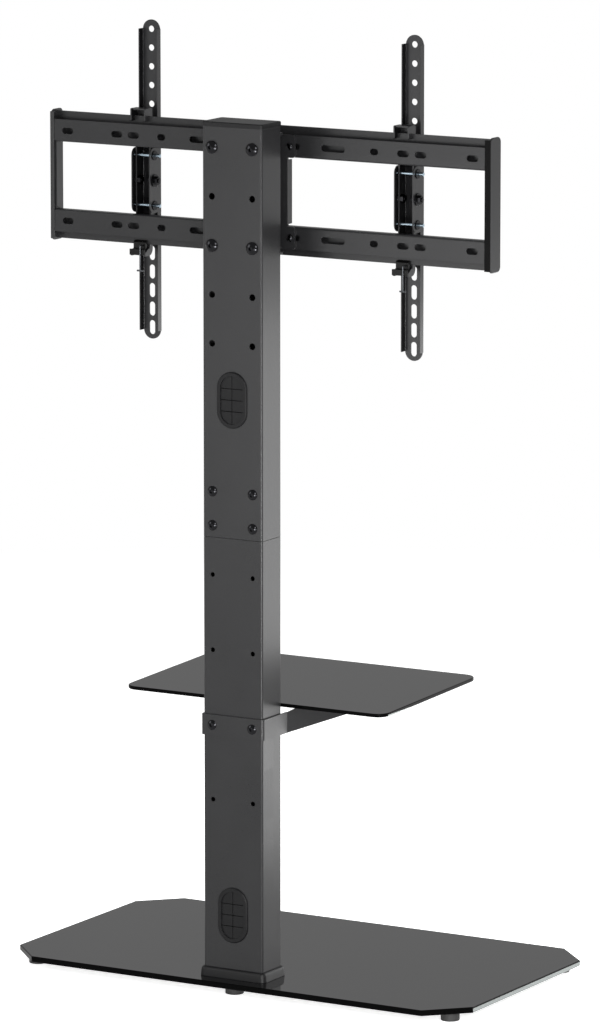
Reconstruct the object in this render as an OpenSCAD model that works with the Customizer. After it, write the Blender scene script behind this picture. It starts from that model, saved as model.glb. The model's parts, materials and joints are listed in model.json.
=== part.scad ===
// Floor stand for a flat screen: glass base, two-part column, glass shelf,
// swivelling head with two rails, and two hooked arms that slide and tilt.
// X is the width, +Y is the rear of the stand (the column side), -Y faces the viewer
// of the screen, +Z is up. The origin is on the floor, under the middle of the base.

/* [Base] */
// Width of the glass base
base_w = 700; // [620:10:820]
// Depth of the glass base
base_d = 400; // [390:10:480]
// Thickness of the base glass
base_t = 8; // [6:1:12]
// Length cut off each corner of the base, along each side
base_cut = 50; // [20:5:60]
// Polished bevel along the edges of both glass plates
glass_bevel = 0.8; // [0.4:0.2:1.2]
// Diameter of a foot
foot_d = 25; // [20:1:30]
// Height of a foot
foot_h = 12; // [11:1:16]
// Distance of the corner feet from the ends of the base
foot_end_inset = 32; // [25:1:60]
// Distance of the corner feet from the long sides of the base
foot_side_inset = 46; // [40:1:60]
// Distance of the middle feet from the long sides of the base
foot_mid_inset = 30; // [20:1:40]
// Width of the steel plate under the glass
under_w = 180; // [140:5:240]
// Depth of the steel plate under the glass
under_d = 56; // [50:1:60]
// Thickness of the steel plate under the glass
under_t = 3; // [3:0.5:5]

/* [Column] */
// Width of the column
column_w = 90; // [84:1:100]
// Depth of the column
column_d = 50; // [44:1:56]
// Wall of the column tubes
column_wall = 2; // [1.5:0.5:2.5]
// Corner radius of the column
column_r = 3; // [2.5:0.5:4]
// Distance from the rear edge of the base to the rear face of the column
column_setback = 26.5; // [22:0.5:34]
// Length of the lower tube
lower_len = 592; // [560:1:680]
// Length of the upper tube
upper_len = 542.5; // [500:0.5:600]
// Height of the top of the cap above the tube
cap_h = 6.5; // [4:0.5:9]
// Height of the collar at the foot of the column
collar_h = 13; // [10:1:18]
// Flare of the collar at the glass
collar_flare = 5; // [3:0.5:7]
// Sideways distance of the column's holes from its middle
hole_x = 30.5; // [28:0.5:32]
// Distance from the top of the upper tube to the first row of holes
top_row_drop = 27; // [24:1:36]
// Distance between the rows of holes in the upper tube
mount_pitch = 64.6; // [60:0.2:68]
// Diameter of the holes in the upper tube
mount_hole_d = 9; // [8.5:0.5:9.5]
// Distance from the joint to the first row of joint bolts
joint_row_rise = 16; // [14:1:22]
// Distance between the two rows of joint bolts
joint_pitch = 45.5; // [40:0.5:50]
// Distance from the joint down to the first row of shelf holes
shelf_row_drop = 50; // [48:1:60]
// Distance between the rows of shelf holes
shelf_pitch = 100.8; // [92:0.2:106]
// Diameter of the shelf holes
shelf_hole_d = 6.5; // [6:0.5:7]

/* [Cable grommets] */
// Width over the rim of a grommet
grommet_w = 45; // [40:1:48]
// Height over the rim of a grommet
grommet_h = 75; // [66:1:84]
// Width of the rim
grommet_rim = 5.5; // [4.5:0.5:7]
// How far the rim stands off the column
grommet_proud = 2.6; // [2:0.2:3.6]
// Centre of the lower grommet above the glass
lower_grommet_rise = 86.5; // [80:0.5:120]
// Centre of the upper grommet above the joint
upper_grommet_rise = 184.5; // [170:0.5:200]

/* [Shelf] */
// Width of the glass shelf
shelf_w = 400; // [340:10:460]
// Depth of the glass shelf
shelf_d = 260; // [220:5:300]
// Thickness of the glass shelf
shelf_t = 5; // [4:1:8]
// Corner radius of the glass shelf
shelf_r = 18; // [10:1:30]
// Rise of the shelf towards its front edge, in degrees
shelf_tilt = 1.8; // [0:0.1:2.4]
// Height of the band round the column
band_h = 28; // [24:1:32]
// Thickness of the band and its arms
band_t = 2.5; // [2:0.5:3]
// Length of the shelf arms beyond the band's bend
shelf_arm_len = 140; // [110:5:160]
// Splay of the shelf arms, in degrees
shelf_arm_splay = 34; // [25:1:38]
// Height of a shelf arm at its tip
shelf_arm_tip = 9; // [7:1:12]
// Diameter of the rubber pads under the shelf
pad_d = 16; // [12:1:18]
// Thickness of the rubber pads under the shelf
pad_t = 2.5; // [2:0.5:4]

/* [Swivel head] */
// Distance from the front of the column to the swivel axis
swivel_reach = 19.5; // [19:0.5:26]
// Distance from the swivel axis to the rear of the swivel plate
swivel_offset = 17; // [16:0.5:20]
// Thickness of the swivel plate and the bracket behind it
swivel_t = 3; // [2.5:0.5:4]
// Width of the swivel plate between the rails
swivel_w = 67; // [60:1:70]
// Width of the swivel plate at the rails
swivel_ear_w = 89; // [84:1:96]
// Width of the bracket's pivot lugs
lug_w = 66; // [56:1:70]
// Diameter of the pivot bolts
pivot_d = 10; // [8:1:12]
// Thickness of the nylon friction washers
washer_t = 1.2; // [1:0.2:2]
// How far the head turns to each side, in degrees
swivel_limit = 35; // [20:1:35]

/* [Rails] */
// Distance between the outer faces of the end caps
rail_span = 669; // [650:1:800]
// Height of a rail's web
rail_h = 30; // [26:1:34]
// Sheet thickness of the rails
rail_t = 2; // [1.5:0.5:2.5]
// Distance between the slot lines of the two rails
rail_pitch = 120.8; // [114:0.2:128]
// Depth of a rail, from its rear face to the front of its hook wall
rail_depth = 14; // [13:0.5:16]
// Height of the hook wall's lip above the web
rail_lip = 10.3; // [9:0.1:12]
// Height of the slots in the rails
rail_slot_h = 8.5; // [7:0.5:10]
// Thickness of an end cap's outer plate
end_cap_t = 2.5; // [2:0.5:3.5]
// Depth of an end cap
end_cap_d = 27.5; // [24:0.5:30]
// Height of an end cap
end_cap_h = 176; // [168:1:184]

/* [Arms] */
// Sideways place of the arms, from the middle
arm_x = 200; // [100:1:300]
// Length of an arm
arm_len = 428; // [400:2:460]
// Width of an arm
arm_w = 29; // [27:0.5:33]
// Sheet thickness of an arm
arm_t = 1.5; // [1:0.5:2]
// Depth of an arm's flanges
arm_flange = 10.5; // [9:0.5:12]
// Distance from the tilt pivot to the back of the arm's web
arm_reach = 17; // [16:0.5:20]
// Diameter of the round screen holes
screen_hole_d = 8.5; // [7:0.5:9]
// Pitch of the screen holes
screen_pitch = 25; // [25:1:27]
// Length of the screen slots
screen_slot_len = 19; // [15:1:20]
// Distance from an arm's end to its first hole
arm_end = 12.5; // [12.5:0.5:13.5]
// Height of the ears round the tilt pivot
ear_h = 87; // [84:1:92]
// Radius at which the tilt pins sit
pin_radius = 33.5; // [32:0.5:35]
// Diameter of the tilt pins
pin_d = 5; // [4:0.5:5.5]
// How far an arm tilts each way, in degrees
tilt_limit = 8; // [5:1:8]

/* [Hook brackets] */
// Sheet thickness of a hook bracket
hook_t = 2; // [1.5:0.5:2.5]
// Width of the strips in front of the rails
hook_strip = 7.4; // [6:0.2:8]
// Height of a hook over the rail's lip
hook_rise = 10; // [8:0.5:12]
// Length of a hook behind the rail's lip
hook_nose = 8; // [6:0.5:9]
// How far a latch slides down to free an arm
latch_travel = 8; // [7:0.5:9]
// Thickness of the latch's finger plate
latch_t = 8; // [6:0.5:9]
// Length of the latch's pull wire
latch_wire_len = 33; // [25:1:45]

/* [Hidden] */

$fn = 48;
// Straight facets in each sheet-metal bend
bend_steps = 4;
// Overrun of every cut
cut = 1;
// Clearance round a bolt in its hole, on the radius
bolt_gap = 0.25;
// Clearance round a bolt that a moving piece turns on, on the radius
play = 0.08;
// Gap between faces that slide on each other
running_gap = 0.3;
// Gap between moving sheets that lie inside each other
nest_gap = 0.3;

// Colours of the finishes
powder_black = "#3b3b3d";
glass_black = "#1d1d1f";
plastic_black = "#2a2a2b";
rubber_black = "#222222";
bolt_black = "#19191a";
zinc = "#b9c0c6";
nylon = "#c9c9c6";

// Heights of the base
glass_top = foot_h + base_t;
gasket_t = 1;
tube_bottom = glass_top + gasket_t;
seam_z = tube_bottom + lower_len;
// Dark line that shows between the two tubes
seam_gap = 0.5;
upper_bottom = seam_z + seam_gap;
tube_top = upper_bottom + upper_len;

// Column faces
column_rear = base_d/2 - column_setback;
column_front = column_rear - column_d;
column_mid = column_rear - column_d/2;

// Sizes of the fasteners
bolt_d = 8;
bolt_head_d = 14;
bolt_head_h = 4.4;
bolt_socket = 5;
bolt_socket_depth = 2.5;
bolt_washer_d = 17;
bolt_washer_t = 1.2;
nut_h = 5;
nut_across = 13;
small_bolt_d = 6;
small_head_d = 13.4;
small_head_h = 3.4;
small_socket = 4;
small_nut_h = 4.5;
small_nut_across = 10;

// Plate under the glass, weld plate in the lower tube and the bolts through them
under_r = 8;
under_bottom = foot_h - gasket_t - under_t;
flush_head_d = 14;
flush_rise = (flush_head_d - bolt_d)/2;
foot_plate_t = 8;
base_bolt_x = 30;
base_bolt_y = 14;
glass_hole_gap = 1;
foot_notch_gap = 1;

// Joining sleeve
sleeve_gap = 0.3;
sleeve_wall = 2;
sleeve_up = 85;
sleeve_down = 38;
weld_nut_h = 6;
weld_nut_d = 12;

// Cap
cap_lip = 1;
cap_skirt = 16;
cap_round = 1.2;

// Rows of holes
upper_rows = 5;
bracket_rows = [0, 2];
lower_rows = 4;
band_row = 2;
function upper_row(i) = tube_top - top_row_drop - i*mount_pitch;
function lower_row(i) = seam_z - shelf_row_drop - i*shelf_pitch;

// Shelf
shelf_back_gap = 0.5;
shelf_lift = 8.5;
band_gap = 0.2;
band_z = lower_row(band_row);
band_bend = 11;
shelf_back = column_front - shelf_back_gap;
shelf_rise = band_z + band_h/2 + shelf_lift;
flange_w = 14;
pad_end = 12;
pad_start = 32;
arm_root_x = column_w/2 + band_gap + band_t/2;
arm_root_y = column_front - band_bend;
shelf_arm_step = 2;
shelf_arm_ramp = 16;
pad_screw_d = 4;
pad_screw_head_d = 8;
pad_screw_head_h = 2.4;
pad_screw_stop = 0.6;

// Swivel head
axis_y = column_front - swivel_reach;
rail_back = axis_y - swivel_offset - swivel_t;
upper_slot_z = (upper_row(0) + upper_row(2))/2 + rail_pitch/2;
lower_slot_z = upper_slot_z - rail_pitch;
head_top = upper_slot_z + rail_h/2;
head_bottom = lower_slot_z - rail_h/2;
head_mid = (head_top + head_bottom)/2;
head_half = (head_top - head_bottom)/2;
lug_bottom = head_half + running_gap + washer_t;
pivot_head_h = 6;
pivot_across = 16;
pivot_nut_h = 8;
pivot_nut_gap = 0.5;
lug_r = 16;
lug_slope = 50;
ear_bolt_inset = 8;
ear_bolt_x = swivel_ear_w/2 - ear_bolt_inset;
head_lug_w = 48;
head_flange = 12;
bracket_w = 80;

// Rails: the places of the slots along half a rail, and their lengths against their height
slot_place_shares = [0.138, 0.302, 0.487, 0.617, 0.695, 0.926];
slot_length_shares = [1, 4.2, 1.45, 2.05, 2, 2];
rail_half = rail_span/2 - end_cap_t;
rail_bend = 1.6;
lip_front = rail_back - rail_depth;
lip_rear = lip_front + rail_t;
lip_top = head_top + rail_lip;
lip_bottom = head_bottom - rail_lip;
cap_corner = 7;
cap_bevel = 0.8;
cap_neck = 6;
plug_len = 14;
plug_gap = 0.2;

// Tilt pivot, level with the middle of the head
pivot_back = 8;
pivot_drop = 1;
pivot_y = lip_front - pivot_back;
pivot_z = head_mid - pivot_drop;

// Arms: their holes and slots are counted in screen pitches down from the first hole
first_hole_rise = 200;
arm_top = pivot_z + first_hole_rise + arm_end;
round_steps = [0:4];
last_step = floor((arm_len - 2*arm_end)/screen_pitch);
slot_steps = [last_step - 4 : last_step];
web_y = pivot_y - arm_reach - arm_t;
flange_stop = 12;
ear_reach = 11.5;
ear_round = 10;
slot_slack = 1.5;
pin_gap = 0.1;
pin_slot_gap = 0.4;
pin_out = 9.2;
pin_in = 3;
tilt_bolt_d = 6;
tilt_washer_d = 17;
tilt_nut_h = 5;
tilt_tail = 1.5;
tilt_head_h = 2.4;
tilt_head_d = 9;
tilt_spacer_d = 14;
tilt_spacer_t = 1;
tilt_low_head_d = 12;
tilt_low_head_h = 1.2;

// Hook brackets
hook_half = arm_w/2 - arm_t - nest_gap - tilt_spacer_t;
strip_rear = lip_front - running_gap;
strip_front = strip_rear - hook_strip;
hook_top = lip_top + running_gap + hook_rise;
nose_front = lip_rear + running_gap;
hook_rear = nose_front + hook_nose;
nose_lift = 3.5;
hook_round = 2;
bridge_t = 2;
belly_front = 10;
belly_rear = 5;
belly_half = 40;
belly_taper = 30;
strip_start = 46;
claw_h = 9.5;
claw_drop = 5.7;
claw_reach = 11.5;
claw_fall = 4;
claw_rear = lip_front + claw_reach;
claw_fillet = 3;
claw_top = lip_bottom - claw_drop;
front_bridge_h = 34;

// Latches
latch_gap = 0.3;
latch_nose_t = 5;
latch_nose_rise = 5.3;
latch_stem_rise = 34;
latch_face_t = 2;
latch_rear = claw_rear + latch_gap + latch_face_t;
wire_d = 2;
wire_x = -5.6;
wire_bar_len = 9;
wire_bar_d = 2.4;

// Profiles and small shapes

function left_of(a) = [-sin(a), cos(a)];
function heading(p, q) = atan2(q[1] - p[1], q[0] - p[0]);
function turn(a, b) = let (d = b - a) d > 180 ? d - 360 : d < -180 ? d + 360 : d;

// One side of a folded sheet: the middle line of the sheet, rounded at each bend
function folded_side(path, r, t, side) = [
    path[0] + side*t/2*left_of(heading(path[0], path[1])),
    for (i = [1 : len(path) - 2])
        let (a = heading(path[i - 1], path[i]),
             bend = turn(a, heading(path[i], path[i + 1])),
             s = sign(bend),
             middle = path[i] - r*tan(abs(bend)/2)*[cos(a), sin(a)] + s*r*left_of(a))
            for (k = [0 : bend_steps])
                middle - (s*r - side*t/2)*left_of(a + bend*k/bend_steps),
    path[len(path) - 1] + side*t/2*left_of(heading(path[len(path) - 2], path[len(path) - 1]))
];
function reversed(points) = [for (i = [len(points) - 1 : -1 : 0]) points[i]];

module folded(path, r, t) {
    polygon(concat(folded_side(path, r, t, 1), reversed(folded_side(path, r, t, -1))));
}

module rounded(w, d, r) {
    square([w - 2*r, d], center = true);
    square([w, d - 2*r], center = true);
    for (x = [-1, 1], y = [-1, 1])
        translate([x*(w/2 - r), y*(d/2 - r)]) circle(r);
}

module obround(w, h) {
    if (h > w) square([w, h - w], center = true);
    for (s = [-1, 1]) translate([0, s*(h - w)/2]) circle(d = w);
}

// Outline of a rectangle with its corners cut off
module cut_corners(w, d, c) {
    polygon([[-w/2 + c, -d/2], [w/2 - c, -d/2], [w/2, -d/2 + c], [w/2, d/2 - c],
             [w/2 - c, d/2], [-w/2 + c, d/2], [-w/2, d/2 - c], [-w/2, -d/2 + c]]);
}

// One bevelled layer of a plate with round corners: full size below, smaller above
module bevel_layer(w, d, r, b) {
    for (a = [0, 90])
        let (side = a == 0 ? w : d, across = a == 0 ? d : w)
            rotate([0, 0, a]) rotate([90, 0, 90])
                linear_extrude(side - 2*r, center = true)
                    polygon([[-across/2, 0], [across/2, 0], [across/2 - b, b], [b - across/2, b]]);
    for (x = [-1, 1], y = [-1, 1])
        translate([x*(w/2 - r), y*(d/2 - r), 0]) cylinder(r1 = r, r2 = r - b, h = b);
}

module bevel_plate(w, d, r, t, b) {
    translate([0, 0, b]) linear_extrude(t - 2*b) rounded(w, d, r);
    translate([0, 0, t - b]) bevel_layer(w, d, r, b);
    translate([0, 0, b]) mirror([0, 0, 1]) bevel_layer(w, d, r, b);
}

// Puts a drawing of (y, z) upright and gives it a width along X
module along_x(width) {
    rotate([90, 0, 90]) linear_extrude(width, center = true) children();
}

// Puts a drawing of (x, z) upright and gives it a depth along Y
module along_y(depth) {
    rotate([90, 0, 0]) linear_extrude(depth, center = true) children();
}

// Round hole or pin along Y, centred on y
module rod_y(x, y, z, d, l) {
    translate([x, y, z]) rotate([90, 0, 0]) cylinder(d = d, h = l, center = true);
}

module rod_x(x, y, z, d, l) {
    translate([x, y, z]) rotate([0, 90, 0]) cylinder(d = d, h = l, center = true);
}

// Low domed bolt: its head stands on z = 0 and its shank goes down
module dome_bolt(d, l, head_d, head_h, socket, socket_depth) {
    crown = head_h*0.75;
    dome_r = (head_d*head_d/4 + crown*crown)/(2*crown);
    difference() {
        union() {
            intersection() {
                cylinder(d = head_d, h = head_h);
                translate([0, 0, head_h - dome_r]) sphere(dome_r);
            }
            translate([0, 0, -l]) cylinder(d = d, h = l + head_h/2);
        }
        translate([0, 0, head_h - socket_depth])
            cylinder(d = socket/cos(30), h = socket_depth + cut, $fn = 6);
    }
}

module hex_nut(across, h, bore) {
    difference() {
        cylinder(d = across/cos(30), h = h, $fn = 6);
        translate([0, 0, -cut]) cylinder(d = bore, h = h + 2*cut);
    }
}

module flat_washer(d, t, bore) {
    difference() {
        cylinder(d = d, h = t);
        translate([0, 0, -cut]) cylinder(d = bore, h = t + 2*cut);
    }
}

// Base

module base_bolt_places() {
    for (x = [-1, 1], y = [-1, 1])
        translate([x*base_bolt_x, column_mid + y*base_bolt_y, 0]) children();
}

module base_glass() {
    color(glass_black) difference() {
        hull() {
            translate([0, 0, foot_h]) linear_extrude(base_t)
                cut_corners(base_w - 2*glass_bevel, base_d - 2*glass_bevel,
                            base_cut - glass_bevel*(2 - sqrt(2)));
            translate([0, 0, foot_h + glass_bevel]) linear_extrude(base_t - 2*glass_bevel)
                cut_corners(base_w, base_d, base_cut);
        }
        translate([0, 0, foot_h]) base_bolt_places()
            translate([0, 0, -cut]) cylinder(d = bolt_d + 2*glass_hole_gap, h = base_t + 2*cut);
    }
}

module feet() {
    corner_x = base_w/2 - foot_end_inset;
    corner_y = base_d/2 - foot_side_inset;
    middle_y = base_d/2 - foot_mid_inset;
    ring = foot_h/4;
    color(rubber_black)
        for (p = [[-corner_x, -corner_y], [corner_x, -corner_y], [-corner_x, corner_y],
                  [corner_x, corner_y], [0, -middle_y], [0, middle_y]])
            translate([p[0], p[1], 0]) {
                cylinder(d = foot_d, h = foot_h - ring);
                translate([0, 0, foot_h - ring]) cylinder(d1 = foot_d, d2 = foot_d - ring, h = ring);
            }
}

// Plate with round corners, bolt holes and a notch round the middle foot
module under_sheet(z, t) {
    translate([0, 0, z]) linear_extrude(t) difference() {
        translate([0, column_mid]) rounded(under_w, under_d, under_r);
        base_bolt_places() circle(r = bolt_d/2 + bolt_gap);
        translate([0, base_d/2 - foot_mid_inset]) circle(r = foot_d/2 + foot_notch_gap);
    }
}

module under_plate() {
    color(powder_black) difference() {
        under_sheet(under_bottom, under_t);
        base_bolt_places() translate([0, 0, under_bottom - cut])
            cylinder(r1 = flush_head_d/2 + play + cut, r2 = bolt_d/2 + play, h = flush_rise + cut);
    }
}

module under_pad() {
    color(rubber_black) under_sheet(foot_h - gasket_t, gasket_t);
}

module foot_gasket() {
    color(rubber_black) difference() {
        translate([0, column_mid, glass_top]) linear_extrude(gasket_t)
            rounded(column_w, column_d, column_r);
        translate([0, 0, glass_top]) base_bolt_places()
            translate([0, 0, -cut]) cylinder(r = bolt_d/2 + bolt_gap, h = gasket_t + 2*cut);
    }
}

// Bolts with flush heads, from below through the plate and the glass into the column
module base_bolts() {
    color(bolt_black) base_bolt_places() translate([0, 0, under_bottom]) difference() {
        union() {
            cylinder(d1 = flush_head_d, d2 = bolt_d, h = flush_rise);
            cylinder(d = bolt_d, h = tube_bottom + foot_plate_t - under_bottom);
        }
        translate([0, 0, -cut]) cylinder(d = bolt_socket/cos(30), h = bolt_socket_depth + cut, $fn = 6);
    }
}

// Column

module column_collar() {
    w = column_w + 2*sleeve_gap;
    d = column_d + 2*sleeve_gap;
    // height and overhang of the collar's outline: a slight flare under a round shoulder
    height_shares = [0.08, 0.68, 0.84, 0.94, 1];
    flare_shares = [1, 0.84, 0.72, 0.52, 0.24];
    color(plastic_black) translate([0, column_mid, glass_top]) difference() {
        hull() for (i = [0 : len(height_shares) - 1])
            let (out = collar_flare*flare_shares[i])
                linear_extrude(collar_h*height_shares[i])
                    rounded(w + 2*out, d + 2*out, column_r + out, $fn = 32);
        translate([0, 0, -cut]) linear_extrude(collar_h + 2*cut) rounded(w, d, column_r);
    }
}

module tube(z, l) {
    translate([0, column_mid, z]) linear_extrude(l) difference() {
        rounded(column_w, column_d, column_r);
        rounded(column_w - 2*column_wall, column_d - 2*column_wall, column_r - column_wall);
    }
}

// Holes in the rear wall alone
module rear_holes(z, d) {
    for (s = [-1, 1]) rod_y(s*hole_x, column_rear - column_wall, z, d, 2*column_wall + 2*cut);
}

module grommet_hole(z) {
    translate([0, column_rear - column_wall, z]) along_y(2*column_wall + 2*cut)
        obround(grommet_w - grommet_rim, grommet_h - grommet_rim);
}

module lower_column() {
    color(powder_black) difference() {
        union() {
            tube(tube_bottom, lower_len);
            translate([0, column_mid, tube_bottom]) linear_extrude(foot_plate_t)
                rounded(column_w - column_wall, column_d - column_wall, column_r - column_wall/2);
        }
        for (i = [0 : lower_rows - 1]) rear_holes(lower_row(i), shelf_hole_d);
        grommet_hole(glass_top + lower_grommet_rise);
        base_bolt_places() cylinder(r = bolt_d/2 + bolt_gap, h = tube_bottom + foot_plate_t + cut);
    }
}

module upper_column() {
    color(powder_black) difference() {
        tube(upper_bottom, upper_len);
        for (i = [0 : upper_rows - 1], s = [-1, 1])
            rod_y(s*hole_x, column_mid, upper_row(i), mount_hole_d, column_d + 2*cut);
        for (i = [0, 1])
            rear_holes(seam_z + joint_row_rise + i*joint_pitch, bolt_d + 2*bolt_gap);
        grommet_hole(seam_z + upper_grommet_rise);
    }
}

module joining_sleeve() {
    w = column_w - 2*column_wall - 2*sleeve_gap;
    d = column_d - 2*column_wall - 2*sleeve_gap;
    inner_rear = column_mid + d/2 - sleeve_wall;
    color(powder_black) difference() {
        union() {
            translate([0, column_mid, seam_z - sleeve_down]) linear_extrude(sleeve_down + sleeve_up)
                difference() {
                    rounded(w, d, column_r - column_wall);
                    square([w - 2*sleeve_wall, d - 2*sleeve_wall], center = true);
                }
            for (i = [0, 1], s = [-1, 1])
                rod_y(s*hole_x, inner_rear - weld_nut_h/2 + sleeve_wall/2,
                      seam_z + joint_row_rise + i*joint_pitch, weld_nut_d, weld_nut_h + sleeve_wall);
        }
        for (i = [0, 1], s = [-1, 1])
            rod_y(s*hole_x, inner_rear, seam_z + joint_row_rise + i*joint_pitch,
                  bolt_d + 2*bolt_gap, 4*weld_nut_h);
    }
}

module joint_bolts() {
    shank = column_wall + sleeve_gap + sleeve_wall + weld_nut_h;
    color(bolt_black) for (i = [0, 1], s = [-1, 1])
        translate([s*hole_x, column_rear, seam_z + joint_row_rise + i*joint_pitch])
            rotate([-90, 0, 0])
                dome_bolt(bolt_d, shank, bolt_head_d, bolt_head_h, bolt_socket, bolt_socket_depth);
}

module column_cap() {
    w = column_w + 2*cap_lip;
    d = column_d + 2*cap_lip;
    skirt_w = column_w - 2*column_wall - 2*sleeve_gap;
    skirt_d = column_d - 2*column_wall - 2*sleeve_gap;
    color(plastic_black) translate([0, column_mid, tube_top]) {
        hull() {
            linear_extrude(cap_h - cap_round) rounded(w, d, column_r + cap_lip);
            linear_extrude(cap_h)
                rounded(w - 2*cap_round, d - 2*cap_round, column_r + cap_lip - cap_round);
        }
        translate([0, 0, -cap_skirt]) linear_extrude(cap_skirt + cap_h/2) difference() {
            rounded(skirt_w, skirt_d, column_r - column_wall);
            square([skirt_w - 2*column_wall, skirt_d - 2*column_wall], center = true);
        }
    }
}

// Cable grommet in the rear face: a bevelled rim round a membrane slit like a grid
module grommet(z) {
    inner_w = grommet_w - 2*grommet_rim;
    inner_h = grommet_h - 2*grommet_rim;
    bevel = grommet_proud/2;
    skin = column_wall/2;
    slit = 0.8;
    slit_rows = [-1, 0, 1];
    slit_pitch = inner_h/4.25;
    color(plastic_black) translate([0, column_rear, z]) {
        difference() {
            union() {
                hull() {
                    translate([0, bevel/2, 0]) along_y(bevel) obround(grommet_w, grommet_h);
                    translate([0, grommet_proud/2, 0]) along_y(grommet_proud)
                        obround(grommet_w - 2*bevel, grommet_h - 2*bevel);
                }
                translate([0, -2*column_wall, 0]) along_y(4*column_wall)
                    obround(grommet_w - grommet_rim - 2*sleeve_gap,
                            grommet_h - grommet_rim - 2*sleeve_gap);
            }
            along_y(4*(grommet_proud + 4*column_wall)) obround(inner_w, inner_h);
        }
        difference() {
            translate([0, skin/2, 0]) along_y(skin) obround(inner_w + cut, inner_h + cut);
            translate([0, skin/2, 0]) along_y(skin + 2*cut) {
                square([slit, inner_h], center = true);
                for (i = slit_rows) translate([0, i*slit_pitch]) square([inner_w, slit], center = true);
            }
        }
    }
}

module lower_grommet() { grommet(glass_top + lower_grommet_rise); }

module upper_grommet() { grommet(seam_z + upper_grommet_rise); }

// Shelf

// Puts a drawing on the underside of the tilted shelf, with y = 0 at its rear edge
module shelf_frame() {
    translate([0, shelf_back, shelf_rise]) rotate([-shelf_tilt, 0, 0]) children();
}

module shelf_glass() {
    color(glass_black) shelf_frame() translate([0, -shelf_d/2, 0])
        bevel_plate(shelf_w, shelf_d, shelf_r, shelf_t, glass_bevel);
}

// Places along a shelf arm, in the frame of the shelf: s is the distance from the bend
module on_shelf_arm(side, s) {
    shelf_frame()
        translate([side*arm_root_x, (arm_root_y - shelf_back)/cos(shelf_tilt), -pad_t])
            rotate([0, 0, side > 0 ? shelf_arm_splay - 90 : -90 - shelf_arm_splay])
                translate([s, -side*flange_w/2, 0]) children();
}

module shelf_arm(side) {
    rise = tan(shelf_tilt)*cos(shelf_arm_splay);
    root_top = shelf_rise + (shelf_back - arm_root_y)*tan(shelf_tilt) - pad_t - band_t/2;
    bottom = band_z - band_h/2;
    tip_top = root_top + shelf_arm_len*rise;
    step_end = shelf_arm_step + shelf_arm_ramp;
    translate([side*arm_root_x, arm_root_y, 0])
        rotate([0, 0, side > 0 ? shelf_arm_splay - 90 : -90 - shelf_arm_splay])
            rotate([90, 0, 0]) linear_extrude(band_t, center = true)
                polygon([[0, bottom], [0, bottom + band_h], [shelf_arm_step, bottom + band_h],
                         [step_end, root_top + step_end*rise], [shelf_arm_len, tip_top],
                         [shelf_arm_len, tip_top - shelf_arm_tip]]);
    on_shelf_arm(side, shelf_arm_step + shelf_arm_ramp) translate([0, 0, -band_t]) linear_extrude(band_t)
        translate([0, -flange_w/2]) square([shelf_arm_len - shelf_arm_step - shelf_arm_ramp, flange_w]);
}

module shelf_bracket() {
    rear = column_rear + band_t/2;
    color(powder_black) difference() {
        union() {
            translate([0, 0, band_z - band_h/2]) linear_extrude(band_h)
                folded([[-arm_root_x, arm_root_y], [-arm_root_x, rear], [arm_root_x, rear],
                        [arm_root_x, arm_root_y]], column_r, band_t);
            for (side = [-1, 1]) shelf_arm(side);
        }
        for (s = [-1, 1]) rod_y(s*hole_x, column_rear, band_z, shelf_hole_d, 4*band_t);
        for (side = [-1, 1], s = [pad_start, shelf_arm_len - pad_end])
            on_shelf_arm(side, s) cylinder(d = pad_screw_d + 2*bolt_gap, h = 4*band_t, center = true);
    }
}

module shelf_bolts() {
    color(bolt_black) for (s = [-1, 1])
        translate([s*hole_x, column_rear + band_t, band_z]) rotate([-90, 0, 0])
            dome_bolt(small_bolt_d, band_t + 4*column_wall, small_head_d, small_head_h,
                      small_socket, small_head_h/2);
}

module shelf_pads() {
    color(rubber_black) for (side = [-1, 1], s = [pad_start, shelf_arm_len - pad_end])
        on_shelf_arm(side, s) difference() {
            cylinder(d = pad_d, h = pad_t);
            translate([0, 0, -cut])
                cylinder(d = pad_screw_d + 2*bolt_gap, h = pad_t + cut - pad_screw_stop/2);
        }
}

module shelf_screws() {
    color(bolt_black) for (side = [-1, 1], s = [pad_start, shelf_arm_len - pad_end])
        on_shelf_arm(side, s) translate([0, 0, -band_t]) mirror([0, 0, 1])
            dome_bolt(pad_screw_d, band_t + pad_t - pad_screw_stop, pad_screw_head_d,
                      pad_screw_head_h, pad_screw_d/2, pad_screw_head_h/2);
}

// Fixed bracket on the front of the column

// Draws its children at the top of the head and mirrored at the bottom
module both_ends() {
    for (s = [0, 1]) translate([0, axis_y, head_mid]) mirror([0, 0, s]) children();
}

module mount_bracket() {
    reach = column_front - axis_y;
    color(powder_black) difference() {
        union() {
            translate([0, column_front - swivel_t/2, head_mid]) along_y(swivel_t)
                rounded(bracket_w, 2*(lug_bottom + swivel_t), swivel_t);
            both_ends() translate([0, 0, lug_bottom]) linear_extrude(swivel_t) {
                polygon([[-lug_w/2, reach], [-lug_w/2, -lug_r/3],
                         [-lug_r*cos(lug_slope), -lug_r*sin(lug_slope)],
                         [lug_r*cos(lug_slope), -lug_r*sin(lug_slope)],
                         [lug_w/2, -lug_r/3], [lug_w/2, reach]]);
                circle(lug_r);
            }
        }
        both_ends() cylinder(r = pivot_d/2 + bolt_gap, h = head_half*2);
        for (i = bracket_rows, s = [-1, 1])
            rod_y(s*hole_x, column_front, upper_row(i), bolt_d + 2*bolt_gap, 4*swivel_t);
    }
}

module mount_bolts() {
    shank = column_d + swivel_t + nut_h + bolt_washer_t;
    color(bolt_black) for (i = bracket_rows, s = [-1, 1])
        translate([s*hole_x, column_rear, upper_row(i)]) rotate([-90, 0, 0]) {
            flat_washer(bolt_washer_d, bolt_washer_t, bolt_d + bolt_gap);
            translate([0, 0, bolt_washer_t])
                dome_bolt(bolt_d, shank, bolt_head_d, bolt_head_h, bolt_socket, bolt_socket_depth);
        }
}

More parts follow.
